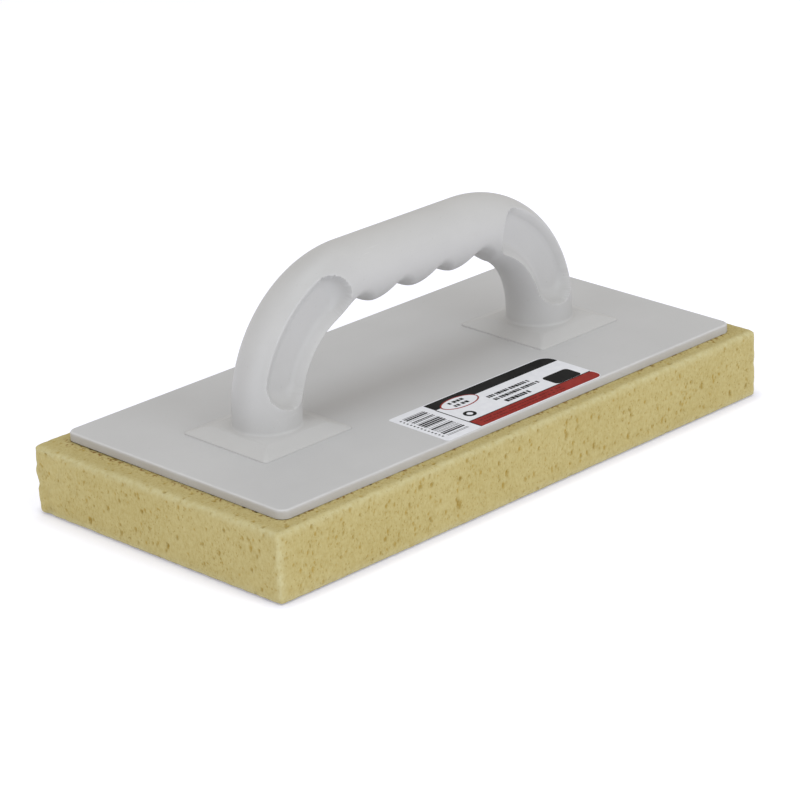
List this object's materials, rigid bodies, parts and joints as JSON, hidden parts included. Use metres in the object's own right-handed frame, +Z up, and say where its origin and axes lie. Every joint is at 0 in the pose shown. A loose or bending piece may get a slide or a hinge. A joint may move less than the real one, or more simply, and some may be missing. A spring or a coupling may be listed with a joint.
{
  "type": "sponge grout float",
  "caption": "Hand float with a D handle on a flat plastic plate and a thick sponge block underneath, for washing cement grout out of tile joints.",
  "frame": {"origin": "middle of the sponge's working face, at the bottom of the float", "axes": "+X along the sponge and the grip, +Y across the plate away from the label, +Z up towards the grip"},
  "size_m": [0.28, 0.14, 0.1023],
  "materials": {
    "sponge": "open-cell hydro sponge, matt, pale yellow",
    "adhesive": "dried contact adhesive, dark amber",
    "plate_plastic": "moulded, cool off-white, faint grain",
    "handle_plastic": "moulded, off-white, satin",
    "screw_steel": "zinc plated",
    "label_film": "printed self-adhesive film"
  },
  "bodies": {
    "root": {"sponge_pad": "sponge", "bond_film": "adhesive", "backing_plate": "plate_plastic", "handle": "handle_plastic", "fixing_screws": "screw_steel", "label": "label_film"}
  },
  "joints": []
}
